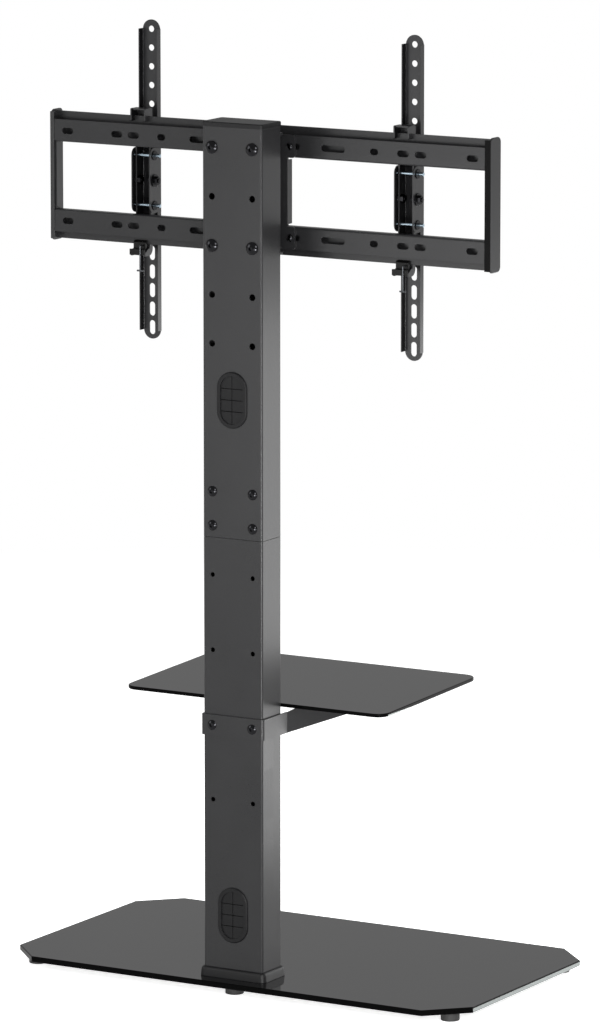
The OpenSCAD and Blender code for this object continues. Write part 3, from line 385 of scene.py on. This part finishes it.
def button_head(radius, height, socket, shank, length):
    """Domed bolt on the Z axis: its head stands on z = 0, with a hex socket in the dome."""
    crown, socket_floor, root, point = height * 0.75, height * 0.42, height * 0.2, shank * 0.25
    # Radius of the ball whose cap is the crown
    ball = (radius * radius + crown * crown) / (2 * crown)
    deselect()
    bpy.ops.mesh.primitive_uv_sphere_add(segments=96, ring_count=64, radius=ball,
                                         location=(0, 0, height - ball))
    head = bpy.context.view_layer.objects.active
    bpy.ops.object.transform_apply(location=True)
    kept_in(head, cylinder(radius, 0, height * 2, 96))
    cut_out(head, cylinder(socket / 2 / HEX_FLATS, socket_floor, height * 2, vertices=6))
    bevel(head, 0.15, angle=50)
    stem = cylinder(shank, -length, root, vertices=32)
    rim_bevelled(stem, -length, point, 2)
    return joined([head, stem])


def hex_nut(across, low, high, bore):
    """Nut on the Z axis with its corners turned off at both ends."""
    turned_radius, turned_off = across / 2 * 1.12, across * 0.07
    nut = cylinder(across / 2 / HEX_FLATS, low, high, vertices=6)
    turned = cylinder(turned_radius, low, high, vertices=64)
    for z in (low, high):
        rim_bevelled(turned, z, turned_off, 1)
    kept_in(nut, turned)
    cut_out(nut, cylinder(bore, low - CLEAR, high + CLEAR, vertices=32))
    bevel(nut, 0.12, angle=30)
    return nut


# These turn a piece made on the +Z axis to point along +Y, -Y, +X and -X
TO_REAR = Matrix.Rotation(math.radians(-90), 4, "X")
TO_FRONT = Matrix.Rotation(math.radians(90), 4, "X")
TO_LEFT = Matrix.Rotation(math.radians(90), 4, "Y")
TO_RIGHT = Matrix.Rotation(math.radians(-90), 4, "Y")


def washer(radius, low, high, bore):
    """Flat washer on the Z axis, with the rounded upper rim that stamping leaves."""
    rounding = (high - low) * 0.35
    ring = cylinder(radius, low, high, 64)
    rim_bevelled(ring, high, rounding, 2)
    cut_out(ring, cylinder(bore, low - CLEAR, high + CLEAR, vertices=40))
    return ring


def row_of_bolts(node, name, finish, head_mm, socket_mm, shank_mm):
    """Button-head bolts whose heads face the rear, and the washers under them."""
    thickest_washer = 3 * MM
    made, master, ring = [], None, None
    for low, high in solids(node):
        middle, size, seat = (low + high) / 2, high - low, high.y - head_mm * MM
        if size.y < thickest_washer:
            ring = ring or washer(size.x / 2, 0, size.y, shank_mm / 2 * MM)
            made.append(copied(ring, Matrix.Translation((middle.x, low.y, middle.z)) @ TO_REAR))
        else:
            master = master or button_head(size.x / 2, high.y - seat, socket_mm * MM,
                                           shank_mm / 2 * MM, seat - low.y)
            made.append(copied(master, Matrix.Translation((middle.x, seat, middle.z)) @ TO_REAR))
    for used in filter(None, (master, ring)):
        bpy.data.objects.remove(used)
    piece = joined(made)
    smooth(piece)
    return finish_piece(piece, name, [node], finish)


def row_of_nuts(node, name, finish, bore_mm, turn):
    """Hex nuts in place of each solid of a node; turn lays the nut's Z axis along theirs."""
    made = []
    for low, high in solids(node):
        middle, size = (low + high) / 2, high - low
        height = size.dot(Vector(map(abs, turn.to_3x3().col[2])))
        across = max(size) * HEX_FLATS
        nut = hex_nut(across, -height / 2, height / 2, bore_mm / 2 * MM)
        made.append(place(nut, Matrix.Translation(middle) @ turn))
    piece = joined(made)
    smooth(piece)
    return finish_piece(piece, name, [node], finish)


# Glass


def glass_plate(node, name, reflection_mm):
    """Plate with a black face and edges drawn black as painted shade; on its two ends a pale painted
    reflection reaches the given height in mm above the foot.
    """
    piece = merged_copy(node)
    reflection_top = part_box(node)[0].z + reflection_mm * MM
    mesh = bmesh.new()
    mesh.from_mesh(piece.data)
    bmesh.ops.bisect_plane(mesh, geom=mesh.verts[:] + mesh.edges[:] + mesh.faces[:],
                           plane_co=(0, 0, reflection_top), plane_no=(0, 0, 1))
    mesh.to_mesh(piece.data)
    mesh.free()
    bevel(piece, 0.2, angle=30)
    smooth(piece, 20)
    finish_piece(piece, name, [node], glass_face)
    for finish in (glass_edge_painted_shade, glass_end_painted_reflection):
        piece.data.materials.append(finish)
    # Edges take the painted shade; the lower part of the two ends takes the painted reflection
    for face in piece.data.polygons:
        on_face = abs(face.normal.z) >= 0.95
        on_end = abs(face.normal.x) > 0.6 and abs(face.normal.y) < 0.3
        if not on_face:
            face.material_index = 2 if on_end and face.center.z < reflection_top else 1


glass_plate("base_glass", "base_plate_glass", 6)
glass_plate("shelf_glass", "shelf_plate_glass", 3)

# Column

for tube in ("lower_column", "upper_column"):
    softened(tube, powder, 0.25, tube + "_tube", shade=40)
softened("joining_sleeve", powder, 0.2)
softened("column_collar", abs_matt, 0.35, "collar_moulding", angle=30, shade=50)
softened("column_cap", abs_matt, 0.3, "cap_moulding", angle=30, shade=50)
for grommet in ("lower_grommet", "upper_grommet"):
    softened(grommet, elastomer, 0.3, grommet + "_moulding", angle=30, shade=40)

row_of_bolts("joint_bolts", "joint_button_bolts", black_zinc, 4.4, 5, 8)

for node in ("under_plate", "foot_gasket", "under_pad"):
    softened(node, powder if node == "under_plate" else rubber, 0.2)
softened("base_bolts", black_zinc, 0.1)


def foot():
    """Rubber foot on the Z axis: rounded rims, a groove above the floor lip and a screw recess."""
    floor_rim, top_rim = 0.9 * MM, 1.5 * MM
    groove_low, groove_high, groove_depth = 2.6 * MM, 3.3 * MM, 0.45 * MM
    recess_share, recess_top = 0.42, 4 * MM
    low, high = solids("feet")[0]
    radius = (high.x - low.x) / 2
    body = cylinder(radius, low.z, high.z, 64)
    rim_bevelled(body, low.z, floor_rim, 3)
    rim_bevelled(body, high.z, top_rim, 3)
    groove = cylinder(radius * 1.2, groove_low, groove_high, 64)
    cut_out(groove, cylinder(radius - groove_depth, groove_low - CLEAR, groove_high + CLEAR, 64))
    cut_out(body, groove)
    cut_out(body, cylinder(radius * recess_share, -CLEAR, recess_top, 40))
    return body


master = foot()
feet = []
for low, high in solids("feet"):
    middle = (low + high) / 2
    feet.append(copied(master, Matrix.Translation((middle.x, middle.y, 0))))
bpy.data.objects.remove(master)
piece = joined(feet)
smooth(piece)
finish_piece(piece, "rubber_feet", ["feet"], rubber)

# Shelf

# The band keeps the edges that the CAD gives it: broken edges would smear the light on its bends
softened("shelf_bracket", powder, 0, "shelf_band_and_arms", shade=12)
softened("shelf_pads", rubber, 0.3)
softened("shelf_screws", black_zinc, 0.1)
row_of_bolts("shelf_bolts", "shelf_button_bolts", black_zinc, 3.4, 4, 6)

# Head

for node in ("mount_bracket", "swivel_plate", "upper_rail", "lower_rail"):
    softened(node, powder, 0.25, node + "_sheet", shade=40)


def end_cap(node, finish, lap_mm):
    """End cap, with the thin lip that laps over the ends of both rails."""
    plate_mm, lip_mm, rounding = 2.5, 1.0, 0.45
    set_in, joint_gap = 0.1 * MM, 0.05 * MM
    softened(node, abs_plastic, 0.4, node + "_moulding", angle=30, shade=45)
    low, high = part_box(node)
    outer, inward = (high.x, -1) if low.x + high.x > 0 else (low.x, 1)
    ends = sorted((outer + inward * set_in, outer + inward * (plate_mm + lap_mm) * MM))
    lip = block((ends[0], high.y + joint_gap, low.z + plate_mm * MM),
                (ends[1], high.y + lip_mm * MM, high.z - plate_mm * MM))
    bevel(lip, lip_mm * rounding, segments=3)
    smooth(lip, 50)
    lip.name = lip.data.name = node + "_lip"
    lip.data.materials.append(finish)
    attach(lip, BODY_OF[node])


end_cap("left_end_cap", abs_plastic, 3.6)
# The right cap's lip is drawn black: painted shade
end_cap("right_end_cap", lip_painted_shade, 6.2)
softened("friction_washers", nylon, 0.15)
row_of_bolts("mount_bolts", "mount_button_bolts", black_zinc, 4.4, 5, 8)
row_of_bolts("rail_bolts", "rail_button_bolts", black_zinc, 3.4, 4, 6)
row_of_nuts("mount_nuts", "mount_hex_nuts", black_zinc, 8, TO_FRONT)
row_of_nuts("rail_nuts", "rail_hex_nuts", black_zinc, 6, TO_FRONT)
row_of_nuts("pivot_nuts", "pivot_lock_nuts", black_zinc, 10, Matrix())
softened("pivot_bolts", black_zinc, 0.3, "pivot_hex_bolts", angle=30, shade=30)

# Arms


def cross_pins(side):
    """Cross pins with rounded ends; black push nuts outside the arm and a bush inside hold each."""
    # Radii as shares of the pin's own
    nut_share, cover_share, bush_share = 2.6, 3.2, 1.7
    nut_thick, bush_thick, slack = 1.1 * MM, 1 * MM, 0.2 * MM
    piece = merged_copy(side + "_tilt_pins")
    bevel(piece, 0.5)
    smooth(piece, 50)
    finish_piece(piece, side + "_cross_pins", [side + "_tilt_pins"], zinc)
    arm, bracket = (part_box(side + part) for part in ("_arm", "_hook_bracket"))
    held = []
    for low, high in solids(side + "_tilt_pins"):
        middle, radius = (low + high) / 2, (high.z - low.z) / 2
        for share, thick, x, turn in ((nut_share, nut_thick, arm[0].x - slack, TO_RIGHT),
                                      (bush_share, bush_thick, bracket[1].x, TO_LEFT),
                                      (cover_share, nut_thick, arm[1].x + slack, TO_LEFT)):
            ring = washer(radius * share, 0, thick, radius)
            held.append(place(ring, Matrix.Translation((x, middle.y, middle.z)) @ turn))
    pads = joined(held)
    smooth(pads)
    pads.name = pads.data.name = side + "_pin_push_nuts"
    pads.data.materials.append(oiled_zinc)
    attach(pads, BODY_OF[side + "_tilt_pins"])


# Depth of the arms' far flange, whose inner side takes the painted shade
FAR_FLANGE = 6 * MM

for side in ("left", "right"):
    for node in ("_arm", "_hook_bracket"):
        piece = softened(side + node, powder_small, 0.2, side + node + "_sheet", shade=20)
        # Painted shade on the inner side of the far flange
        piece.data.materials.append(powder_painted_shade)
        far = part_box(side + node)[1].x - FAR_FLANGE
        for face in piece.data.polygons:
            if face.normal.x < -0.9 and face.center.x > far:
                face.material_index = 1
    softened(side + "_latch", acetal, 0.4, side + "_latch_moulding", angle=30, shade=40)
    softened(side + "_latch_wire", spring_steel, 0, side + "_pull_wire", shade=60)
    cross_pins(side)
    softened(side + "_tilt_bolts", oiled_zinc, 0.2, side + "_tilt_fasteners", shade=40)

# Studio

# Camera solved from the photograph's straight edges
CAMERA_YAW, CAMERA_PITCH = math.radians(210.0422), math.radians(9.9042)
CAMERA_PLACE = Vector((-4.48496, 7.75147, 2.17998))
FOCAL_PX, LONG_SIDE_PX, SENSOR = 6811.13, 1034, 36.0

data = bpy.data.cameras.new("camera")
data.sensor_width, data.lens = SENSOR, FOCAL_PX * SENSOR / LONG_SIDE_PX
data.clip_start, data.clip_end = 0.1, 200
camera = bpy.data.objects.new("camera", data)
bpy.context.scene.collection.objects.link(camera)
back = Vector((math.sin(CAMERA_YAW) * math.cos(CAMERA_PITCH),
               -math.cos(CAMERA_YAW) * math.cos(CAMERA_PITCH), math.sin(CAMERA_PITCH)))
camera.location = CAMERA_PLACE
camera.rotation_mode = "QUATERNION"
camera.rotation_quaternion = (-back).to_track_quat("-Z", "Y")
bpy.context.scene.camera = camera

world = bpy.data.worlds.new("studio")
bpy.context.scene.world = world
world.use_nodes = True
tree = world.node_tree
tree.nodes.clear()
seen = add(tree, "ShaderNodeLightPath")
# What lights the object, what its glossy surfaces mirror, and what shows behind it
room = add(tree, "ShaderNodeBackground", Color=linear("#ffffff"), Strength=0.28)
mirrored = add(tree, "ShaderNodeBackground", Color=linear("#ffffff"), Strength=0.4)
paper = add(tree, "ShaderNodeBackground", Color=linear("#ffffff"), Strength=1.0)
through = add(tree, "ShaderNodeMath", {"operation": "MAXIMUM"}, _0=seen.outputs["Is Camera Ray"],
              _1=seen.outputs["Is Transmission Ray"])
inner = add(tree, "ShaderNodeMixShader", _0=seen.outputs["Is Glossy Ray"],
            _1=room.outputs["Background"], _2=mirrored.outputs["Background"])
mixed = add(tree, "ShaderNodeMixShader", _0=through.outputs["Value"],
            _1=inner.outputs["Shader"], _2=paper.outputs["Background"])
add(tree, "ShaderNodeOutputWorld", Surface=mixed.outputs["Shader"])


def softbox(name, place, target, width, height, watts, mirrored=True):
    """Area lamp that faces its target and is never seen itself; mirrored says whether gloss shows it."""
    light = bpy.data.lights.new(name, "AREA")
    light.shape, light.size, light.size_y, light.energy = "RECTANGLE", width, height, watts
    lamp = bpy.data.objects.new(name, light)
    bpy.context.scene.collection.objects.link(lamp)
    lamp.location = place
    lamp.rotation_mode = "QUATERNION"
    lamp.rotation_quaternion = (Vector(target) - Vector(place)).to_track_quat("-Z", "Y")
    lamp.visible_camera = False
    lamp.visible_glossy = mirrored


# Each lamp: name, place, target, width, height and watts
softbox("key", (-3.0, 3.2, 2.6), (0, 0.1, 0.7), 1.6, 1.6, 50)
softbox("fill", (3.4, 2.6, 2.2), (0, 0.1, 0.6), 2.0, 2.0, 35)
softbox("top", (0.2, -0.4, 3.6), (0, 0, 0.5), 2.2, 2.2, 50, mirrored=False)
softbox("front", (1.0, -3.6, 1.8), (0, 0, 0.8), 2.0, 2.0, 40, mirrored=False)
# Low panels that the sides, the rear and the rounded corners of the steel mirror
softbox("low_front", (-0.5, -0.63, 0.4), (-0.05, 0.15, 0.4), 0.9, 0.8, 4.4)
softbox("low_front_foot", (-0.5, -0.63, 0.11), (-0.05, 0.15, 0.11), 0.9, 0.2, 2.5)
softbox("low_rear", (0.75, 2.6, 0.55), (0, 0.1, 0.6), 0.9, 0.9, 6.5)
softbox("corner", (-1.45, 1.75, 0.3), (0, 0.15, 0.3), 2.3, 0.58, 10)
softbox("corner_high", (-1.45, 1.75, 1.4), (0, 0.15, 0.9), 2.3, 1.2, 34, mirrored=False)
# Upright strip for the bright line down the column's corner. It is kept low, so that the glass
# doesn't mirror it when the stand is seen from the front.
softbox("strip", (-1.3, 1.93, 0.33), (0, 0.15, 0.33), 0.42, 0.64, 17)

# Floor

# The floor is lit near the stand and fades to plain white between these distances from it
FADE_START, FADE_END = 1.2, 3.2

deselect()
bpy.ops.mesh.primitive_plane_add(size=40, location=(0, 0, 0))
floor = bpy.context.view_layer.objects.active
floor.name = "floor"
sheet = bpy.data.materials.new("white_studio_floor")
sheet.use_nodes = True
tree = sheet.node_tree
tree.nodes.clear()
seen = add(tree, "ShaderNodeLightPath")
matt = add(tree, "ShaderNodeBsdfDiffuse", Color=linear("#f4f4f4"))
glow = add(tree, "ShaderNodeEmission", Color=linear("#ffffff"), Strength=0.8)
near = add(tree, "ShaderNodeAddShader", _0=matt.outputs["BSDF"], _1=glow.outputs["Emission"])
far = add(tree, "ShaderNodeEmission", Color=linear("#ffffff"), Strength=1.0)
where = add(tree, "ShaderNodeTexCoord").outputs["Object"]
away = add(tree, "ShaderNodeVectorMath", {"operation": "LENGTH"}, _0=where)
fade = add(tree, "ShaderNodeMapRange", Value=away.outputs["Value"], From_Min=FADE_START,
           From_Max=FADE_END)
white = add(tree, "ShaderNodeMixShader", _0=fade.outputs["Result"], _1=near.outputs["Shader"],
            _2=far.outputs["Emission"])
mirrored = add(tree, "ShaderNodeEmission", Color=linear("#ffffff"), Strength=0.85)
glossy = add(tree, "ShaderNodeMath", {"operation": "MAXIMUM"}, _0=seen.outputs["Is Glossy Ray"],
             _1=seen.outputs["Is Transmission Ray"])
bounced = add(tree, "ShaderNodeMixShader", _0=glossy.outputs["Value"], _1=matt.outputs["BSDF"],
              _2=mirrored.outputs["Emission"])
mixed = add(tree, "ShaderNodeMixShader", _0=seen.outputs["Is Camera Ray"],
            _1=bounced.outputs["Shader"], _2=white.outputs["Shader"])
add(tree, "ShaderNodeOutputMaterial", Surface=mixed.outputs["Shader"])
floor.data.materials.append(sheet)

bpy.context.scene.view_settings.view_transform = "Standard"
